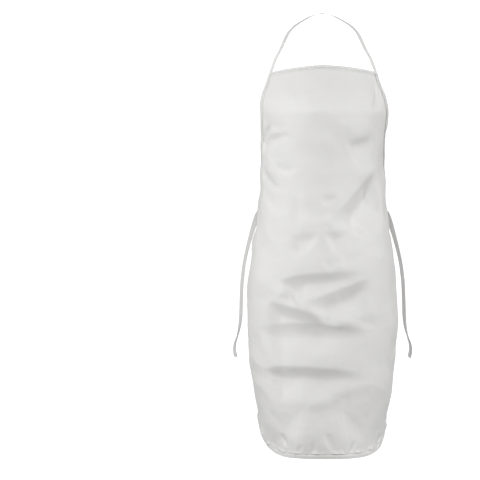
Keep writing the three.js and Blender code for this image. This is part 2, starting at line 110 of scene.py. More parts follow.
# Folds. Each runs through three places, given in degrees round from the middle of the front and in
# share of the body's length. Left of the run the cloth stands out by "rise", highest at "above"
# from the line, and right of it the cloth falls back by "fall", deepest at "below". "soft" rounds
# the crease at the line, and a "lean" below 1 puts the fold's fullest stretch nearer its start.
# Lengths are in millimetres; "away" is how many breadths more the cloth takes to come back.
# A fold grows from nothing at both ends, each time over the share "fold_taper" of its run.
fold_taper = 0.33
fold_words = ("run", "rise", "above", "fall", "below", "soft", "lean", "away")
folds = [dict(zip(fold_words, row)) for row in [
    # the hollows and ridges that hang from the two sides of the waist
    (((2, 0.411), (28, 0.335), (57, 0.262)), 1.5, 18, 29.0, 44, 1.0, 1.1, 1.5),
    (((14, 0.416), (34, 0.396), (60, 0.330)), 1.4, 15, 1.4, 20, 4, 1.0, 1.8),
    (((-34, 0.330), (-14, 0.348), (2, 0.350)), 0.2, 12, 1.8, 14, 3, 1.0, 1.8),
    (((-66, 0.262), (-44, 0.316), (-22, 0.345)), 0.0, 12, 4.0, 36, 7, 1.0, 0.6),
    (((-36, 0.318), (-8, 0.340), (20, 0.320)), 0.0, 12, 4.0, 36, 7, 1.0, 0.6),
    (((-68, 0.246), (-52, 0.286), (-34, 0.316)), 0.4, 12, 4.0, 12, 3, 0.8, 1.8),
    (((-50, 0.250), (-36, 0.256), (-20, 0.264)), 0.2, 10, 3.6, 10, 3, 1.0, 1.8),
    (((-2, 0.334), (6, 0.336), (14, 0.332)), 0.0, 10, 3.4, 9, 3, 1.0, 1.8),
    (((-30, 0.437), (-16, 0.429), (0, 0.432)), 0.0, 10, 4.6, 17, 2.5, 1.0, 2),
    (((-34, 0.466), (-22, 0.458), (-8, 0.462)), 0.0, 10, 2.6, 14, 4, 1.0, 2),
    (((0, 0.432), (15, 0.420), (38, 0.404)), 0.0, 10, 7.0, 20, 2.5, 0.9, 2),
    (((-3, 0.498), (7, 0.492), (17, 0.498)), 0.2, 14, 3.6, 13, 3, 1.0, 2),
    # the folds at the knees
    (((-36, 0.560), (-13, 0.534), (42, 0.526)), 1.2, 20, 14.0, 27, 1.0, 0.9, 2),
    (((-38, 0.598), (-27, 0.576), (-13, 0.560)), 0.2, 14, 4.6, 14, 2, 1.1, 2),
    (((-15, 0.604), (11, 0.576), (40, 0.538)), 0.2, 14, 19.0, 30, 1.0, 0.9, 1.5),
    (((-48, 0.601), (-16, 0.624), (42, 0.678)), 0.6, 14, 13.0, 28, 1.0, 1.0, 2.5),
    (((-60, 0.675), (-14, 0.658), (46, 0.682)), 0.0, 12, 14.5, 33, 1.0, 0.95, 2.6),
    # the folds below the knees, and the hem's kick to the front
    (((-54, 0.784), (-21, 0.767), (44, 0.790)), 1.2, 22, 14.5, 28, 1.0, 1.0, 2.0),
    (((-14, 0.880), (4, 0.860), (22, 0.816)), 0.6, 18, 2.4, 18, 5, 1.0, 2),
    (((-60, 1.010), (0, 1.050), (60, 1.010)), 12.0, 64, 0.0, 20, 6, 1.0, 1.5),
    # the bib, the swell of the waist under the chest, and the armholes
    (((42, 0.120), (48, 0.078), (56, 0.034)), 0.2, 9, 5.5, 11, 1.5, 0.9, 1.5),
    (((-90, 0.252), (0, 0.260), (90, 0.252)), 4.0, 70, 0.0, 20, 16, 1.0, 1.0),
    (((-90, 0.318), (0, 0.326), (90, 0.318)), 4.0, 70, 0.0, 20, 16, 1.0, 1.0),
    (((-80, 0.200), (-67, 0.166), (-52, 0.146)), 0.4, 9, 7.5, 9, 1.5, 0.9, 2),
    (((-78, 0.210), (-54, 0.178), (-26, 0.180)), 0.4, 9, 6.5, 11, 1.5, 0.8, 2.5),
    (((-58, 0.150), (-44, 0.146), (-30, 0.150)), 0.0, 9, 1.6, 10, 3, 1.0, 2),
    (((19, 0.199), (34, 0.186), (53, 0.169)), 0.6, 12, 5.5, 17, 2, 0.9, 3),
    (((34, 0.300), (29, 0.240), (24, 0.196)), 0.4, 18, 3.4, 24, 7, 1.0, 3),
    (((72, 0.262), (70, 0.200), (66, 0.140)), 0.4, 16, 1.6, 15, 6, 1.0, 2),
    # the drag of the waist ties at both sides
    (((74, 0.456), (90, 0.386), (105, 0.335)), 2.0, 12, 4.6, 14, 3, 1.3, 2),
    (((82, 0.520), (94, 0.452), (109, 0.372)), 1.6, 12, 3.2, 14, 3, 1.3, 2),
    (((90, 0.650), (98, 0.560), (111, 0.470)), 1.0, 13, 2.2, 15, 4, 1.1, 2),
    (((-105, 0.335), (-90, 0.386), (-74, 0.456)), 2.0, 12, 4.6, 14, 3, 0.8, 2),
    (((-109, 0.372), (-94, 0.452), (-82, 0.520)), 1.6, 12, 3.2, 14, 3, 0.8, 2),
    (((-111, 0.470), (-98, 0.560), (-90, 0.650)), 1.0, 13, 2.2, 15, 4, 0.9, 2),
    (((56, 0.655), (72, 0.690), (94, 0.740)), 0.6, 14, 2.0, 18, 5, 1.0, 2),
    (((-94, 0.745), (-72, 0.700), (-56, 0.665)), 0.6, 14, 2.0, 18, 5, 1.0, 2),
]]

# Puckers above the bottom hem: degrees round, share of the body's length at the top and at the
# bottom, lean in degrees, breadth and depth in millimetres
puckers = [
    (-74, 0.918, 0.952, 5, 5, 2.6), (-54, 0.950, 0.985, 3, 5, 0.8), (-38, 0.940, 0.973, 3, 9, 3.6),
    (-30, 0.960, 0.992, -1, 4, 1.2), (-21, 0.964, 0.993, -6, 4.5, 2.6), (-14, 0.970, 0.994, -1, 3, 0.9),
    (-8, 0.953, 0.990, 0, 4, 2.0), (0, 0.968, 0.994, -1, 4, 0.8), (7, 0.936, 0.985, 3, 7.5, 3.4),
    (18, 0.965, 0.994, 0, 4, 0.9), (28, 0.954, 0.993, -7, 3.8, 3.4), (37, 0.962, 0.992, 2, 5, 1.3),
    (47, 0.962, 0.990, 2, 5, 1.0), (66, 0.946, 0.980, -4, 5, 2.8),
]

# Slow waves of worn cloth: length, heading in degrees, height and start. Each one bends sideways,
# by "wave_bend" at the most, in steps of its length times "bend_length"
wave_bend, bend_length = 0.6, 0.37
waves = [(210, 25, 0.45, 0.3), (150, 80, 0.4, 1.9), (118, -35, 0.3, 4.0), (84, 60, 0.2, 2.2),
         (63, -70, 0.13, 5.1), (47, 15, 0.08, 0.8)]

# Crumples of worn cloth: size across, heading in degrees, height and seed. The facets lie on a
# square of scattered heights whose lines are bent a little
crumples = [(78, 20, 2.6, 3), (46, 65, 1.9, 8), (27, 110, 0.8, 21), (15, 35, 0.25, 34)]
crumple_cells = 128
crumple_bend, bends_per_cell = 0.22, 2.3

# Relief along the skirt's hem: the turned hem's step, the groove of its seam, the fine gathers, and
# the hollows and overhang of the cloth above it
hem_step = 0.35
groove_depth, groove_breadth = 1.1, 1.1
gather_height, gather_reach = 0.2, 5
even_hollow, hollow_reach = 0.35, 7
hollow_pitch, hollow_breadth, hollow_depth = (9, 24), (2.5, 5), (0.3, 1.8)
overhang_reach = 5

# Half of the neck loop as shares of the way from a bib corner to its top: across, back, up
neck_route = np.array([
    (1, 0, 0), (0.91, 0.1, 0.21), (0.81, 0.2, 0.37), (0.735, 0.31, 0.515), (0.66, 0.435, 0.645),
    (0.56, 0.55, 0.745), (0.455, 0.68, 0.82), (0.345, 0.8, 0.885), (0.19, 0.925, 0.96), (0, 1, 1),
])

# The route of a waist tie from where it crosses the binding's lower end: outwards, back and up,
# the degrees that its face is turned from the front, and its breadth as a share of the tape's
tie_route = np.array([
    (2, -8, 6, 78, 1), (0.3, 0, 0, 78, 1), (0.5, 8, -7, 78, 1), (3.5, 15, -20, 70, 1.05),
    (9, 18.5, -34, 52, 1.25), (16, 20, -48, 30, 1.45), (26, 20, -80, 12, 1.35),
    (35.5, 20, -114, 4, 1.05), (44, 20, -151, 0, 1), (50, 20, -197, 0, 1), (52, 20, -241, 6, 1),
    (53, 20, -274, 14, 1), (55.5, 20, -298, 40, 1), (60.5, 20, -320, 70, 1), (66, 19, -338, 50, 1),
    (67, 18, -352, 24, 1), (64, 18, -368, 8, 1),
])


# The form of the cloth

def bell(offset, breadth):
    """1 in the middle, and smoothly to nothing on both sides."""
    return np.exp(-((offset / breadth) ** 2))


def smooth_step(t):
    """Nothing up to 0 and 1 from 1 onwards, with a smooth way between."""
    t = np.clip(t, 0, 1)
    return t * t * (3 - 2 * t)


def unit(vectors):
    return vectors / np.linalg.norm(vectors, axis=-1, keepdims=True)


def lengths_along(points):
    return np.concatenate([[0], np.cumsum(np.linalg.norm(np.diff(points, axis=0), axis=1))])


def section_value(column, drop):
    """A smooth curve through one column of the sections."""
    drops, values = sections[:, 0], sections[:, column]
    before = np.maximum(np.arange(len(drops)) - 1, 0)
    after = np.minimum(np.arange(len(drops)) + 1, len(drops) - 1)
    slope = (values[after] - values[before]) / (drops[after] - drops[before])
    k = np.clip(np.searchsorted(drops, drop, side="left") - 1, 0, len(drops) - 2)
    span = drops[k + 1] - drops[k]
    t = np.clip((drop - drops[k]) / span, 0, 1)
    start = values[k] * (1 + 2 * t) * (1 - t) ** 2 + slope[k] * span * t * (1 - t) ** 2
    end = values[k + 1] * t * t * (3 - 2 * t) - slope[k + 1] * span * t * t * (1 - t)
    return start + end


# The cloth round a quarter of the hips, which stands for 90 degrees of the cloth spread flat
quarter_girth = math.pi / 4 * (hip_width / 2 + hip_depth)


def spread(around, share):
    """Where a place lies on the cloth spread flat."""
    return np.stack([np.asarray(around) / 90 * quarter_girth, np.asarray(share) * body_length], -1)


def swell(distance, breadth, soft, away):
    """Nothing before the crease, 1 at its breadth, and back over a number of breadths more."""
    crest = 0.25
    t = soft * np.logaddexp(0, distance / soft) / breadth
    up = t * (1 + crest - crest * np.minimum(t, 1) ** 4)
    down = 0.5 + 0.5 * np.cos(math.pi * np.clip((t - 1) / away, 0, 1))
    return np.where(t < 1, up, down)


def fold_rise(fold, place):
    """Height that one fold gives to places on the flat cloth."""
    first, middle, last = spread(*np.array(fold["run"]).T)
    pull = 2 * middle - (first + last) / 2
    steps = 16
    t = np.linspace(0, 1, steps + 1)[:, None]
    line = first * (1 - t) ** 2 + 2 * pull * t * (1 - t) + last * t * t
    reach = (1 + fold["away"]) * max(fold["above"], fold["below"]) + 4 * fold["soft"]
    near = np.all((place > line.min(0) - reach) & (place < line.max(0) + reach), axis=-1)
    spot = place[near]
    nearest = np.full(len(spot), np.inf)
    side = np.zeros(len(spot))
    along = np.zeros(len(spot))
    for k in range(steps):
        step = line[k + 1] - line[k]
        offset = spot - line[k]
        on_step = np.clip(offset @ step / (step @ step), 0, 1)
        gap = np.hypot(*(offset - on_step[:, None] * step).T)
        closer = gap < nearest
        turn = np.sign(step[0] * offset[:, 1] - step[1] * offset[:, 0])
        nearest = np.where(closer, gap, nearest)
        side = np.where(closer, turn * gap, side)
        along = np.where(closer, (k + on_step) / steps, along)
    along = along ** fold["lean"]
    full = smooth_step(np.minimum(along, 1 - along) / fold_taper)
    breadth = 0.5 + 0.5 * full
    rise = fold["rise"] * swell(-side, fold["above"] * breadth, fold["soft"], fold["away"])
    fall = fold["fall"] * swell(side, fold["below"] * breadth, fold["soft"], fold["away"])
    rise *= full ** (1 + np.clip(-side / fold["above"] / (1 + fold["away"]), 0, 1))
    fall *= full ** (1 + np.clip(side / fold["below"] / (1 + fold["away"]), 0, 1))
    height = np.zeros(len(place))
    height[near] = rise - fall
    return height


def pucker_rise(around, share):
    """Short dents that the bottom hem's stitching draws into the cloth."""
    rise = np.zeros(len(around))
    for middle, top, bottom, lean, breadth, depth in puckers:
        t = (share - top) / (bottom - top)
        off = (around - middle - lean * (t - 0.5)) / 90 * quarter_girth
        rise -= depth * np.clip(1 - (2 * t - 1) ** 2, 0, 1) * bell(off, breadth)
    return rise


def wave_rise(place):
    """Height that the slow waves give to places on the flat cloth."""
    rise = np.zeros(len(place))
    for length, heading, height, start in waves:
        way = np.array([math.cos(math.radians(heading)), math.sin(math.radians(heading))])
        bend = wave_bend * np.sin(place @ way[::-1] / (bend_length * length) + start)
        rise += height * np.sin(2 * math.pi * (place @ way) / length + start + bend)
    return rise


def crumple_rise(place):
    """Flat facets between scattered heights, at several sizes."""
    rise = np.zeros(len(place))
    for size, heading, height, seed in crumples:
        heights = np.random.default_rng(seed).uniform(-1, 1, (crumple_cells, crumple_cells))
        angle = math.radians(heading)
        turned = np.array([[math.cos(angle), -math.sin(angle)], [math.sin(angle), math.cos(angle)]])
        spot = place @ turned / size + crumple_cells / 2
        spot = spot + crumple_bend * np.sin(bends_per_cell * spot[:, ::-1] + seed)
        cell = np.floor(spot).astype(int) % (crumple_cells - 1)
        s, t = (spot - np.floor(spot)).T
        i, j = cell.T
        near, far = heights[i, j], heights[i + 1, j + 1]
        right, left = heights[i + 1, j], heights[i, j + 1]
        first = near + s * (right - near) + t * (left - near)
        second = far + (1 - s) * (left - far) + (1 - t) * (right - far)
        rise += height * np.where(s + t < 1, first, second)
    return rise


def cloth_point(around, drop):
    """A point of the cloth's middle layer."""
    shape = np.shape(around)
    around, drop = np.ravel(around), np.ravel(drop)
    angle = np.radians(around)
    half = section_value(HALF, drop)
    front = section_value(DEPTH, drop)
    depth = np.where(np.cos(angle) > 0, front, wrap_depth)
    even = front + (wrap_depth - front) * smooth_step((np.abs(around) - wrap_start) / wrap_span)
    out = unit(np.stack([np.sin(angle) / half, -np.cos(angle) / even], -1))
    share = drop / body_length
    place = spread(around, share)
    rise = sum(fold_rise(fold, place) for fold in folds)
    rise += wave_rise(place) + crumple_rise(place) + pucker_rise(around, share)
    x = half * np.sin(angle) + section_value(SHIFT, drop) + rise * out[:, 0]
    y = -neck_reach - depth * np.cos(angle) + rise * out[:, 1]
    return np.stack([x, y, -bib_top_drop - drop], -1).reshape(shape + (3,))


corner_drop = body_length - corner_height


def edge_angle(drop):
    """Degrees round to the side edge, drawn in along the lower corner's curve."""
    edge = section_value(EDGE, drop)
    into = np.clip((drop - corner_drop) / corner_height, 0, 1)
    return np.where(into > 0, corner_start + (edge - corner_start) * np.sqrt(1 - into ** 2), edge)


top_edge_angle = float(edge_angle(bib_corner_dip))
side_end = corner_drop + corner_middle * corner_height
bottom_edge_angle = float(edge_angle(side_end))
waist_share = (armhole_drop - bib_corner_dip) / (side_end - bib_corner_dip)


def cut_place(across, share):
    """Degrees round and drop at a share of the way across and down the cut."""
    around = across * edge_angle(bib_corner_dip + (side_end - bib_corner_dip) * share)
    top = bib_corner_dip * np.abs(across) ** dip_power
    span = (bottom_edge_angle - corner_start) / corner_middle
    into = np.maximum(np.abs(across * bottom_edge_angle) - corner_start, 0) / span
    bottom = corner_drop + corner_height * np.sqrt(1 - into ** 2)
    return around, top + (bottom - top) * share


def cloth_frame(around, drop):
    """Point, direction out of the cloth, and how the cloth runs per degree and per millimetre."""
    turn, fall = 0.25, 1.0
    per_degree = (cloth_point(around + turn, drop) - cloth_point(around - turn, drop)) / (2 * turn)
    per_drop = (cloth_point(around, drop + fall) - cloth_point(around, drop - fall)) / (2 * fall)
    return cloth_point(around, drop), unit(np.cross(per_drop, per_degree)), per_degree, per_drop


class Edge:
    """Even stations along an edge of the cut, walked with the cloth on the left-hand side."""

    def __init__(self, across, share):
        around, drop = cut_place(np.asarray(across, float), np.asarray(share, float))
        walked = lengths_along(cloth_point(around, drop))
        self.walked = np.linspace(0, walked[-1], round(walked[-1] / edge_spacing) + 1)
        self.around = np.interp(self.walked, walked, around)
        self.drop = np.interp(self.walked, walked, drop)
        self.point, self.out, per_degree, per_drop = cloth_frame(self.around, self.drop)
        self.inwards = unit(np.cross(self.out, unit(np.gradient(self.point, axis=0))))
        steps = (per_degree, per_drop)
        gram = [[np.sum(a * b, -1) for b in steps] for a in steps]
        want = [np.sum(a * self.inwards, -1) for a in steps]
        spare = gram[0][0] * gram[1][1] - gram[0][1] ** 2
        self.turn = (want[0] * gram[1][1] - want[1] * gram[0][1]) / spare
        self.fall = (want[1] * gram[0][0] - want[0] * gram[0][1]) / spare

    def at(self, inset, height):
        """The line at a distance in from the edge and out of the cloth's middle layer."""
        if inset < 0:
            line = self.point + self.inwards * inset
        else:
            line = cloth_point(self.around + self.turn * inset, self.drop + self.fall * inset)
        return line + self.out * height


# The camera, in metres, at the picture's viewing angle

camera_data = bpy.data.cameras.new("camera")
camera_data.lens = 132
camera = bpy.data.objects.new("camera", camera_data)
camera.location = (0, -3.997, -0.513)
camera.rotation_euler = (math.radians(90), 0, math.radians(2.67))
bpy.context.collection.objects.link(camera)
bpy.context.scene.camera = camera


# Finishes

class Tone:
    """What a node gives. Arithmetic on it adds Math nodes."""

    def __init__(self, finish, socket):
        self.finish, self.socket = finish, socket

    def _math(self, operation, *values):
        return self.finish.node("Math", {"operation": operation}, dict(enumerate(values)))

    def __add__(self, other):
        return self._math("ADD", self, other)

    def __sub__(self, other):
        return self._math("SUBTRACT", self, other)

    def __rsub__(self, other):
        return self._math("SUBTRACT", other, self)

    def __mul__(self, other):
        return self._math("MULTIPLY", self, other)

    __radd__ = __add__
    __rmul__ = __mul__

    def sine(self):
        return self._math("SINE", self)


class Finish:
    """A material on one Principled shader, with its nodes added by expressions."""

    def __init__(self, name, **constants):
        self.material = bpy.data.materials.new(name)
        self.material.use_nodes = True
        self.tree = self.material.node_tree
        self.shader = self.tree.nodes["Principled BSDF"]
        for socket, value in constants.items():
            self.shader.inputs[socket.replace("_", " ")].default_value = value

    def node(self, kind, settings=None, inputs=None, output=0):
        """Adds a node by its type, settings and inputs, and gives one of its outputs."""
        node = self.tree.nodes.new("ShaderNode" + kind)
        for setting, value in (settings or {}).items():
            setattr(node, setting, value)
        for socket, value in (inputs or {}).items():
            self.put(node.inputs[socket], value)
        return Tone(self, node.outputs[output])

    def put(self, socket, value):
        """Links a socket, or sets it."""
        if isinstance(value, Tone):
            self.tree.links.new(value.socket, socket)
        else:
            socket.default_value = value

    def give(self, socket, value):
        self.put(self.shader.inputs[socket], value)

    def place(self):
        """Metres along the cloth: both together, across, and along."""
        flat = self.node("UVMap", {"uv_map": "along_cloth"})
        apart = self.node("SeparateXYZ", None, {"Vector": flat})
        return flat, apart, Tone(self, apart.socket.node.outputs["Y"])

    def noise(self, where, scale, detail=2.0, roughness=0.5):
        return self.node("TexNoise", None, {
            "Vector": where, "Scale": scale, "Detail": detail, "Roughness": roughness})

    def blend(self, share, first, second):
        """Mixes two colours."""
        return self.node("Mix", {"data_type": "RGBA"}, {0: share, 6: first, 7: second}, output=2)

    def bump(self, height, depth, strength, normal=None):
        """A normal for a height, whose full step is this depth in metres."""
        inputs = {"Height": height, "Distance": depth, "Strength": strength}
        if normal is not None:
            inputs["Normal"] = normal
        return self.node("Bump", None, inputs)


# Marks of the woven cloth, in metres
slubs_per_metre, creases_per_metre, patches_per_metre = 900, 38, 9
slub_stretch = 0.08
weave_height, crease_height = 0.00006, 0.0007


def cloth_finish(name, colour, shade, thread_spacing, twill):
    """Woven cotton: threads both ways, or a slanting twill, with slight slubs and creasing."""
    finish = Finish(name, Sheen_Weight=0.12, Sheen_Roughness=0.5, Specular_IOR_Level=0.2)
    flat, across, along = finish.place()
    half_turn = math.pi / thread_spacing
    if twill:
        weave = ((across + along) * half_turn).sine() * 0.5 + (across * half_turn * 2).sine() * 0.25
    else:
        weave = (across * half_turn).sine() * (along * half_turn).sine()
    tall = finish.node("Mapping", None, {"Vector": flat, "Scale": (1, slub_stretch, 1)})
    wide = finish.node("Mapping", None, {"Vector": flat, "Scale": (slub_stretch, 1, 1)})
    slubs = finish.noise(tall, slubs_per_metre) + finish.noise(wide, slubs_per_metre) - 1
    creasing = finish.noise(flat, creases_per_metre, 4, 0.55)
    patches = finish.noise(flat, patches_per_metre, 3)
    tint = (patches - 0.5) * 0.5 + slubs * 0.35 + 0.5
    finish.give("Base Color", finish.blend(tint, colour, shade))
    finish.give("Roughness", 0.9 + slubs * 0.08)
    creased = finish.bump(creasing, crease_height, 0.6)
    finish.give("Normal", finish.bump(weave + slubs * 0.8, weave_height, 0.5, creased))
    return finish.material


apron_cloth = cloth_finish(
    "apron_cloth", (0.80, 0.795, 0.785, 1), (0.76, 0.755, 0.745, 1), 0.00055, twill=False)
# The armhole bindings are the same tape as the ties and the neck loop, in a darker copy: the darker
# tone is painted shade for the binding's faces that turn away from the light.
binding_painted_shade = cloth_finish(
    "binding_painted_shade", (0.775, 0.77, 0.76, 1), (0.725, 0.72, 0.71, 1), 0.0007, twill=True)
# The tape of the waist ties and the neck loop: its own white, painted a little lighter to stand in for
# light on the ties, which hang in the body's shadow.
apron_tape_painted_light = cloth_finish(
    "apron_tape_painted_light", (0.83, 0.825, 0.815, 1), (0.78, 0.775, 0.765, 1), 0.0007, twill=True)


def thread_finish():
    """Sewing thread: fine paler and darker places, and a fuzz of fibres."""
    thread = Finish("sewing_thread", Roughness=0.6, Sheen_Weight=0.1)
    where = thread.node("TexCoord", output="Object")
    tint = thread.noise(where, 700)
    thread.give("Base Color", thread.blend(tint, (0.80, 0.79, 0.78, 1), (0.70, 0.69, 0.68, 1)))
    thread.give("Normal", thread.bump(thread.noise(where, 2600), 0.00004, 0.5))
    return thread.material


sewing_thread = thread_finish()


# Making and sewing on

def sewn(name, points, faces, material, places=None, sharp=50):
    """A piece of the apron, from points in millimetres and their places along the cloth."""
    mesh = bpy.data.meshes.new(name)
    mesh.from_pydata((points * MM).tolist(), [], [tuple(face) for face in faces])
    mesh.validate()
    if places is not None:
        corners = np.empty(len(mesh.loops), dtype=np.int64)
        mesh.loops.foreach_get("vertex_index", corners)
        layer = mesh.uv_layers.new(name="along_cloth")
        layer.data.foreach_set("uv", (places[corners] * MM).astype(np.float32).ravel())
    mesh.polygons.foreach_set("use_smooth", np.ones(len(mesh.polygons), dtype=bool))
    mesh.materials.append(material)
    whole = bmesh.new()
    whole.from_mesh(mesh)
    bmesh.ops.recalc_face_normals(whole, faces=whole.faces)
    whole.to_mesh(mesh)
    whole.free()
    mesh.set_sharp_from_angle(angle=math.radians(sharp))
    piece = bpy.data.objects.new(name, mesh)
    bpy.context.collection.objects.link(piece)
    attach(piece, "root")
    return piece


def band(name, rings, material):
    """A closed band through rings of points, with both ends filled."""
    count, size = rings.shape[:2]
    ring, k = np.meshgrid(np.arange(count - 1), np.arange(size), indexing="ij")
    after = (k + 1) % size
    sides = np.stack([ring * size + k, ring * size + after, (ring + 1) * size + after,
                      (ring + 1) * size + k], -1).reshape(-1, 4)
    last = (count - 1) * size
    faces = [*sides.tolist(), list(range(size))[::-1], list(range(last, last + size))]
    around = np.linalg.norm(np.diff(rings, axis=1), axis=-1).mean(0)
    across = np.concatenate([[0], np.cumsum(around)])
    along = lengths_along(rings.mean(1))
    places = np.stack(np.broadcast_arrays(across[None, :], along[:, None]), -1)
    return sewn(name, rings.reshape(-1, 3), faces, material, places.reshape(-1, 2))


def stitch_line(points, outs):
    """Centres, runs and outward directions of the stitches along a line."""
    walked = lengths_along(points)
    count = int(walked[-1] // stitch_pitch)
    middles = (np.arange(count) + 0.5) * walked[-1] / count
    reach = stitch_share * stitch_pitch / 2

    def on_line(values, at):
        return np.stack([np.interp(at, walked, values[:, i]) for i in range(3)], -1)

    start, end = on_line(points, middles - reach), on_line(points, middles + reach)
    return (start + end) / 2, end - start, unit(on_line(outs, middles))


def stitching(name, lines):
    """Thread that shows on the cloth: a small rounded stitch for each centre, run and outward way."""
    centre, run, out = (np.concatenate([line[i] for line in lines]) for i in range(3))
    side = unit(np.cross(run, out))
    up = unit(np.cross(side, run))
    sides = 6
    turn = np.arange(sides) / sides * 2 * math.pi
    template = [(-0.5, 0, -0.25)]
    for along, thick in [(-0.45, 0.6), (-0.22, 1), (0.22, 1), (0.45, 0.6)]:
        template += [(along, thick * math.cos(a), thick * math.sin(a)) for a in turn]
    template += [(0.5, 0, -0.25)]
    template = np.array(template)
    radius = thread_thickness / 2
    points = (centre[:, None] + template[None, :, :1] * run[:, None]
              + radius * template[None, :, 1:2] * side[:, None]
              + radius * template[None, :, 2:3] * up[:, None])
    faces = []
    for k in range(sides):
        after = (k + 1) % sides
        faces.append((0, 1 + after, 1 + k))
        for ring in range(3):
            a, b = 1 + ring * sides, 1 + (ring + 1) * sides
            faces.append((a + k, a + after, b + after, b + k))
        faces.append((1 + 3 * sides + k, 1 + 3 * sides + after, 1 + 4 * sides))
    every = []
    for k in range(len(centre)):
        every += [tuple(i + k * len(template) for i in face) for face in faces]
    return sewn(name, points.reshape(-1, 3), every, sewing_thread, sharp=80)


def bar_tack(point, along, across, out, breadth):
    """A block of close stitches that holds a tape down."""
    along, across, out = unit(along), unit(across), unit(out)
    rows, spacing = 9, 0.26
    steps = (np.arange(rows) - (rows - 1) / 2) * spacing
    centre = point + steps[:, None] * along
    return centre, np.repeat([across * breadth], rows, 0), np.repeat([out], rows, 0)


# The edges of the cut

down = np.linspace(0, 1, 240)
whole = np.ones_like(down)
armhole_edges = {
    "left": Edge(whole, waist_share * (1 - down)),
    "right": Edge(-whole, waist_share * down),
}
top_edge = Edge(1 - 2 * down, 0 * down)
side_down = waist_share + (1 - waist_share) * down
skirt_edge = Edge(
    np.concatenate([-whole[1:], 2 * down - 1, whole[1:]]),
    np.concatenate([side_down[:-1], whole, side_down[-2::-1]]),
)


# Tapes that leave the cloth

def smooth_route(points, count):
    """Even points on a smooth curve through others, their directions, and their knots."""
    ends = np.vstack([2 * points[0] - points[1], points, 2 * points[-1] - points[-2]])
    fine_steps = 40
    fine, knots = [], []
    for k in range(len(points) - 1):
        p = ends[k:k + 4]
        gap = np.linalg.norm(np.diff(p, axis=0), axis=1) ** 0.5
        leave = (p[1] - p[0]) / gap[0] - (p[2] - p[0]) / (gap[0] + gap[1]) + (p[2] - p[1]) / gap[1]
        reach = (p[2] - p[1]) / gap[1] - (p[3] - p[1]) / (gap[1] + gap[2]) + (p[3] - p[2]) / gap[2]
        t = np.arange(fine_steps + (k == len(points) - 2))[:, None] / fine_steps
        leave, reach = leave * gap[1], reach * gap[1]
        fine.append(p[1] + t * leave + t ** 2 * (3 * (p[2] - p[1]) - 2 * leave - reach)
                    + t ** 3 * (2 * (p[1] - p[2]) + leave + reach))
        knots.append(k + t[:, 0])
    fine, knots = np.concatenate(fine), np.concatenate(knots)
    walked = lengths_along(fine)
    even = np.linspace(0, walked[-1], count)
    route = np.stack([np.interp(even, walked, fine[:, i]) for i in range(3)], -1)
    return route, unit(np.gradient(route, axis=0)), np.interp(even, walked, knots)


# The section of a folded tape: across in half widths, through in half thicknesses. The groove
# lies along the row of stitches near the open edge
tape_section = np.array([
    (-1, -0.3), (-0.985, -0.75), (-0.9, -1), (-0.76, -0.94), (-0.7, -0.62), (-0.64, -0.94),
    (-0.3, -1), (0.3, -1), (0.9, -0.96), (0.985, -0.6), (1, 0), (0.985, 0.6), (0.9, 0.96),
    (0.3, 1), (-0.3, 1), (-0.64, 0.94), (-0.7, 0.62), (-0.76, 0.94), (-0.9, 1), (-0.985, 0.75),
    (-1, 0.3), (-0.97, 0),
])
tape_seam, tape_groove = -0.7, 0.62


class Tape:
    """A folded tape: its route, how it lies, and its breadth, thickness and cupping on the way."""

    def __init__(self, route, along, across, breadth, thickness, cup):
        self.route, self.across = route, across
        self.breadth, self.thickness, self.cup = breadth, thickness, cup
        self.through = unit(np.cross(along, across))

    def rings(self):
        """Rings of the tape's section, bowed a little across its width."""
        x = tape_section[None, :, 0] * (tape_width / 2 * self.breadth)[:, None]
        bow = self.cup[:, None] * (tape_section[None, :, 0] ** 2 - 0.5)
        y = tape_section[None, :, 1] * (self.thickness / 2)[:, None] + bow
        sideways = x[..., None] * self.across[:, None]
        return self.route[:, None] + sideways + y[..., None] * self.through[:, None]

    def stitches(self, end=None):
        """The row of stitches on both faces, as far as a station near the end."""
        x = tape_seam * tape_width / 2 * self.breadth
        bow = self.cup * (tape_seam ** 2 - 0.5)
        middle = self.route + x[:, None] * self.across + bow[:, None] * self.through
        lift = (tape_groove * self.thickness / 2 + stitch_lift)[:, None] * self.through
        return [stitch_line((middle + lift)[:end], self.through[:end]),
                stitch_line((middle - lift)[:end], -self.through[:end])]


def binding_end(hand, at_bib):
    """Middle of the folded tape at one end of a binding, and the ways up, inwards and out of it."""
    edge = armhole_edges[hand]
    end, before = (-1, -2) if at_bib == (hand == "left") else (0, 1)
    line = edge.at(tape_width / 2, 0)
    onwards = unit(line[end] - line[before])
    return line[end], onwards if at_bib else -onwards, edge.inwards[end], edge.out[end]


def waist_tie(hand, side):
    """A waist tie, sewn on at the corner of the waist and loose as far as its slanting cut end."""
    corner, upwards, inwards, out = binding_end(hand, at_bib=False)
    start = corner + out * (binding_face + tape_thickness / 2 + sewing_gap)
    steps = tie_route[:, :3] * (side, 1, 1)
    route, along, knots = smooth_route(start + steps, 220)
    turn = side * np.radians(np.interp(knots, np.arange(len(tie_route)), tie_route[:, 3]))
    breadth = np.interp(knots, np.arange(len(tie_route)), tie_route[:, 4])
    evened = 12
    window = 2 * evened + 1
    breadth = np.convolve(np.pad(breadth, evened, mode="edge"), np.ones(window) / window, mode="valid")
    level = unit(np.array([1.0, 0, 0]) - along * along[:, :1])
    across = side * (level * np.cos(turn)[:, None] + np.cross(along, level) * np.sin(turn)[:, None])
    walked = lengths_along(route)
    cup = 0.25 * np.sin(walked / 23) + 0.2 * np.sin(walked / 41 + 1)
    tape = Tape(route, along, across, breadth, np.full(len(route), tape_thickness), cup)
    cut = np.clip(1 - (walked[-1] - walked) / cut_reach, 0, 1)[:, None, None]
    slant = tape_section[None, :, :1] * cut_slant * cut * side
    tie = band(f"{hand}_waist_tie_tape", tape.rings() + slant * along[:, None], apron_tape_painted_light)
    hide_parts(f"{hand}_waist_tie")
    seam = stitching(f"{hand}_waist_tie_stitches", tape.stitches(end=-2))
    (start + steps[1]) * MM
    (route * MM).tolist()
    return start, upwards, inwards, out


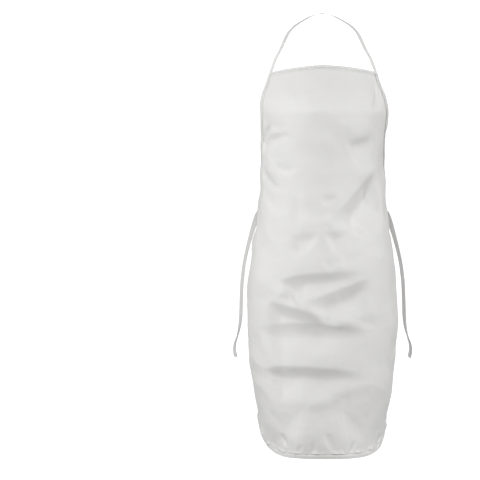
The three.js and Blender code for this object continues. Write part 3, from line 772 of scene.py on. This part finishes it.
def neck_loop():
    """The tape from one bib corner round the neck to the other."""
    halves = []
    for top, upwards, _, _ in corners.values():
        half = np.stack([neck_route[:, 0] * top[0], top[1] * (1 - neck_route[:, 1]),
                         top[2] + (neck_top - top[2]) * neck_route[:, 2]], -1)
        halves.append(np.insert(half, 1, top + upwards * tape_width, axis=0))
    route, along, _ = smooth_route(np.vstack([halves[0], halves[1][-2::-1]]), 300)
    walked = lengths_along(route)
    from_end = np.minimum(walked, walked[-1] - walked)
    settled = smooth_step(from_end / (1.6 * tape_width))[:, None]
    level = unit(np.stack([along[:, 1], -along[:, 0], 0 * along[:, 0]], -1))
    first_half = (np.arange(len(route)) < len(route) / 2)[:, None]
    past_corner = -np.where(first_half, corners["left"][2], corners["right"][2])
    across = unit(past_corner * (1 - settled) + level * settled)
    across = unit(across - along * np.sum(across * along, -1, keepdims=True))
    closed = smooth_step(from_end / 14)
    thickness = 2 * binding_face + (tape_thickness - 2 * binding_face) * closed
    cup = 0.12 * np.sin(walked / 37) + 0.1
    tape = Tape(route, along, across, np.ones(len(route)), thickness, cup)
    loop = band("neck_loop_tape", tape.rings(), apron_tape_painted_light)
    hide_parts("neck_loop")
    stitching("neck_loop_stitches", tape.stitches())
    return loop


ties = {hand: waist_tie(hand, side) for hand, side in (("left", 1), ("right", -1))}
corners = {hand: binding_end(hand, at_bib=True) for hand in ("left", "right")}
neck_tape = neck_loop()


# The body panel, with the relief that its seams draw into the cloth

hem_insets = np.array([0, 1.2, 3, 5, 7, 8.2, 9, 9.8, 11, 13])
top_insets = np.array([0, 3, 5, 6.4, 8, 10, 13])


def bordered(first_insets, inner_count, last_insets, length):
    """Shares of a length: close lines at both borders and even ones between, for each length."""
    length = np.asarray(length, float)[..., None]
    first, last = first_insets / length, 1 - last_insets[::-1] / length
    t = np.arange(1, inner_count) / inner_count
    inner = first[..., -1:] + (last[..., :1] - first[..., -1:]) * t
    return np.concatenate([first, inner, last], -1)


def panel_grid():
    """Degrees round and drop for each crossing of the panel's columns and rows."""
    column_count, row_count, near_side = 150, 258, 0.98
    guess = bordered(top_insets, row_count, hem_insets, body_length)
    side = cloth_point(*cut_place(np.ones_like(guess), guess))
    near = cloth_point(*cut_place(np.full_like(guess, near_side), guess))
    half_width = np.linalg.norm(side - near, axis=-1) / (1 - near_side)
    across = 2 * bordered(hem_insets, column_count, hem_insets, 2 * half_width) - 1
    _, top = cut_place(across, np.zeros_like(across))
    _, bottom = cut_place(across, np.ones_like(across))
    share = np.empty_like(across)
    for column in range(across.shape[1]):
        rows = bordered(top_insets, row_count, hem_insets, (bottom - top)[:, column])
        share[:, column] = np.diagonal(rows)
    return cut_place(across, share)


def nearest_stations(edge, points):
    """Distance to an edge, and the number of its nearest station, for each point of a grid."""
    tree = KDTree(len(edge.point))
    for k, point in enumerate(edge.point):
        tree.insert(point, k)
    tree.balance()
    found = [tree.find(point) for point in points.reshape(-1, 3)]
    distance = np.array([gap for _, _, gap in found])
    station = np.array([k for _, k, _ in found])
    return distance.reshape(points.shape[:2]), station.reshape(points.shape[:2])


def hem_relief(points):
    """Heights that the skirt's hem gives to the outer face alone, and to both faces."""
    inset, station = nearest_stations(skirt_edge, points)
    walked = skirt_edge.walked[station]
    past_seam = inset - hem_seam
    turned_hem = hem_step - hem_step * np.tanh((past_seam - 0.5) / 0.5)
    groove = -groove_depth * bell(past_seam, groove_breadth)
    gathers = np.sin(walked / 1.45) + 0.6 * np.sin(walked / 0.84 + 1)
    gathers *= gather_height * bell(past_seam - 1, gather_reach)

    # Both fade out round the skirt's corners
    fade_start = corner_drop + 0.15 * corner_height
    drawn = np.clip((skirt_edge.drop[station] - fade_start) / (0.4 * corner_height), 0.12, 1)

    # The seam draws the cloth above it into short hollows
    draws = np.random.default_rng(5)
    past_hem = np.clip(inset - hem_width, 0, None)
    hollow = np.full(inset.shape, even_hollow)
    middle = 0
    while middle < skirt_edge.walked[-1]:
        middle += draws.uniform(*hollow_pitch)
        breadth, depth = draws.uniform(*hollow_breadth), draws.uniform(*hollow_depth)
        lean = draws.uniform(-0.5, 0.5)
        hollow += depth * bell(walked - middle - lean * past_hem, breadth)
    hollow *= np.clip(past_hem / 2.5, 0, 1) * np.exp(-past_hem / hollow_reach)

    # and that cloth hangs over the seam a little, here and there more
    overhang = 1.7 + 1.5 * np.sin(walked / 7.3) + 1.1 * np.sin(walked / 3.1 + 1)
    overhang = np.clip(overhang, 0.1, None) * np.clip(past_seam / 1.4, 0, 1)
    overhang *= bell(past_seam, overhang_reach)
    return turned_hem + groove, gathers + drawn * (overhang - hollow)


def bound_relief(edge, width, points):
    """Heights along a bound edge: drawn in at its seam and standing up beyond it."""
    beyond = nearest_stations(edge, points)[0] - width
    return 0.7 * bell(beyond - 7, 3.5) - 1.3 * bell(beyond - 1.2, 1.5)


def surface_area(points):
    """Square millimetres of a grid of points."""
    corner = points[:-1, :-1]
    cells = np.cross(points[1:, :-1] - corner, points[:-1, 1:] - corner)
    return float(np.linalg.norm(cells, axis=-1).sum())


def body_panel():
    """The cut of cloth with its two faces and its rim, and its area in square metres."""
    around, drop = panel_grid()
    middle_layer, outwards, _, _ = cloth_frame(around, drop)
    outer_relief, relief = hem_relief(middle_layer)
    for edge in armhole_edges.values():
        relief += bound_relief(edge, tape_width, middle_layer)
    relief += bound_relief(top_edge, top_band, middle_layer)
    face = cloth_thickness / 2
    outer = middle_layer + outwards * (face + outer_relief + relief)[..., None]
    inner = middle_layer + outwards * (relief - face)[..., None]
    rows, columns = around.shape
    count = rows * columns
    index = np.arange(count).reshape(rows, columns)
    front = np.stack([index[:-1, :-1], index[1:, :-1], index[1:, 1:], index[:-1, 1:]], -1)
    front = front.reshape(-1, 4)
    rim = np.concatenate([index[0, :-1], index[:-1, -1], index[-1, :0:-1], index[:0:-1, 0]])
    after = np.roll(rim, -1)
    rim_faces = np.stack([rim, after, after + count, rim + count], -1)
    flat = spread(around, drop / body_length).reshape(-1, 2)
    panel = sewn(
        "body_panel_cloth",
        np.concatenate([outer.reshape(-1, 3), inner.reshape(-1, 3)]),
        np.concatenate([front, front[:, ::-1] + count, rim_faces]).tolist(),
        apron_cloth, np.tile(flat, (2, 1)), sharp=70,
    )
    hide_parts("body_panel")
    return panel, surface_area(middle_layer) * MM * MM


panel, panel_area = body_panel()


# Hems and bindings: inset from the edge and height out of the middle layer

skirt_hem_section = [
    (1.9, 0.97), (1.3, 1.27), (0.6, 1.3), (0, 1.15), (-0.55, 0.7), (-0.75, 0), (-0.6, -0.5),
    (0, -1.0), (1.2, -1.25), (5, -1.3), (8.4, -1.15), (9, -0.95), (9.6, -1.12), (10, -0.95),
    (10, -0.6), (8, -0.45), (3, -0.45), (-0.05, -0.45), (-0.1, 0), (-0.05, 0.5), (1, 0.5),
]
top_hem_section = [
    (top_band, 0.45), (top_band, 1.35), (top_band - 0.5, 1.6), (top_band - 1, 1.25),
    (top_band - 1.5, 1.6), (2, 1.65), (0.6, 1.5), (-0.3, 1.0), (-0.7, 0), (-0.4, -0.7),
    (0.6, -1.15), (5, -1.25), (9.4, -1.15), (10, -0.95), (10, -0.6), (8, -0.45), (3, -0.45),
    (-0.05, -0.45), (-0.1, 0), (-0.05, 0.45),
]
binding_section = [
    (tape_width, 0.45), (tape_width, 0.95), (tape_width - 0.4, binding_face),
    (tape_width - 0.9, 1.08), (tape_width - 1.2, 0.9), (tape_width - 1.5, 1.08),
    (tape_width - 2, binding_face), (4, 1.25), (1.5, 1.25), (0.3, 1.15), (-0.6, 0.75), (-0.95, 0),
    (-0.6, -0.75), (0.3, -1.15), (1.5, -1.25), (4, -1.25), (tape_width - 2, -binding_face),
    (tape_width - 1.2, -0.9), (tape_width - 0.4, -binding_face), (tape_width, -0.95),
    (tape_width, -0.45), (4, -0.45), (-0.05, -0.45), (-0.1, 0), (-0.05, 0.45), (4, 0.45),
]


def wrapped(name, edge, section, material, nodes):
    """A strip folded over an edge of the cloth."""
    rings = np.stack([edge.at(inset, height) for inset, height in section], 1)
    piece = band(name, rings, material)
    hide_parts(*nodes)
    return piece


def seam_rows(edge, inset, outer_height, inner_height):
    """A row of stitches along an edge, as it shows on both faces."""
    return [stitch_line(edge.at(inset, outer_height), edge.out),
            stitch_line(edge.at(inset, inner_height), -edge.out)]


def binding_seams(hand):
    """The stitches of a binding, and the bar tacks that hold the tie and the neck loop to it."""
    start, upwards, inwards, out = ties[hand]
    tie_face = start + out * (tape_thickness / 2 + sewing_gap)
    tie_tack = bar_tack(tie_face + inwards * 1.5, inwards, upwards, out, 5.5)
    top, upwards, inwards, out = corners[hand]
    bib_face = top - upwards * 3 + out * (binding_face + sewing_gap)
    bib_tack = bar_tack(bib_face, upwards, -inwards, out, 6)
    rows = seam_rows(armhole_edges[hand], tape_width - 1.2, 0.96, -0.96)
    return [*rows, tie_tack, bib_tack]


skirt_hem = wrapped("skirt_hem_fold", skirt_edge, skirt_hem_section, apron_cloth,
                    ["bottom_hem", "left_side_hem", "right_side_hem"])
top_hem = wrapped("top_hem_fold", top_edge, top_hem_section, apron_cloth, ["top_hem"])
bindings = [wrapped(f"{hand}_binding_tape", edge, binding_section, binding_painted_shade,
                    [f"{hand}_armhole_binding"]) for hand, edge in armhole_edges.items()]
hem_stitches = stitching("hem_stitches", [*seam_rows(skirt_edge, hem_seam, 0.05, -0.98),
                                          *seam_rows(top_edge, top_band - 1, 1.34, -1.3)])
binding_stitches = stitching("binding_stitches", [*binding_seams("left"), *binding_seams("right")])


# The studio, in metres: a pale floor that curves up all round, white air that is brighter above, a
# small main light and a second one in front, and a broad light at each side

def studio_floor():
    """The floor and its wall, turned from a profile of distances and heights."""
    level, radius, curve, wall_top, sides = -1.35, 7.0, 3, 7.0, 96
    profile = [(radius * t, 0) for t in (0, 0.3, 0.6, 1)]
    for a in np.linspace(0.1, math.pi / 2, 14):
        profile.append((radius + curve * math.sin(a), curve - curve * math.cos(a)))
    profile.append((radius + curve, wall_top))
    points, faces = [], []
    for ring, (distance, height) in enumerate(profile):
        for k in range(sides):
            turn = 2 * math.pi * k / sides
            points.append((distance * math.cos(turn), distance * math.sin(turn), level + height))
            if ring > 0:
                inner, outer, after = (ring - 1) * sides, ring * sides, (k + 1) % sides
                faces.append((inner + k, outer + k, outer + after, inner + after))
    mesh = bpy.data.meshes.new("studio_floor")
    mesh.from_pydata(points, [], faces)
    mesh.polygons.foreach_set("use_smooth", np.ones(len(faces), dtype=bool))
    white = Finish("studio_white", Base_Color=(0.9, 0.9, 0.9, 1), Roughness=0.9,
                   Emission_Color=(1, 1, 1, 1), Emission_Strength=0.95)
    mesh.materials.append(white.material)
    floor = bpy.data.objects.new("studio_floor", mesh)
    floor.visible_diffuse = False
    floor.visible_glossy = False
    bpy.context.collection.objects.link(floor)


def studio_air():
    """A white world whose light grows from below to above."""
    world = bpy.data.worlds.new("studio_air")
    world.use_nodes = True
    nodes, links = world.node_tree.nodes, world.node_tree.links
    direction = nodes.new("ShaderNodeTexCoord")
    height = nodes.new("ShaderNodeSeparateXYZ")
    brighter_above = nodes.new("ShaderNodeMapRange")
    for socket, value in (("From Min", -0.6), ("From Max", 0.6), ("To Min", 0.22), ("To Max", 0.45)):
        brighter_above.inputs[socket].default_value = value
    links.new(direction.outputs["Generated"], height.inputs["Vector"])
    links.new(height.outputs["Z"], brighter_above.inputs["Value"])
    links.new(brighter_above.outputs["Result"], nodes["Background"].inputs["Strength"])
    nodes["Background"].inputs["Color"].default_value = (1, 1, 1, 1)
    bpy.context.scene.world = world


def soft_light(name, place, size, power):
    """A round lamp that faces the middle of the apron."""
    data = bpy.data.lights.new(name, "AREA")
    data.shape = "DISK"
    data.size, data.energy = size, power
    light = bpy.data.objects.new(name, data)
    light.location = place
    way = Vector((0, -0.16, -0.5)) - Vector(place)
    light.rotation_euler = way.to_track_quat("-Z", "Y").to_euler()
    bpy.context.collection.objects.link(light)


studio_floor()
studio_air()
soft_light("main_light", (-0.62, -1.9, 0.1), 0.36, 16.5)
soft_light("front_light", (0.8, -2.5, 0.2), 0.4, 8.5)
soft_light("right_light", (2.9, -0.2, -0.45), 1.0, 31)
soft_light("left_light", (-3.0, -0.2, -0.8), 1.4, 27)

bpy.context.scene.view_settings.view_transform = "Standard"
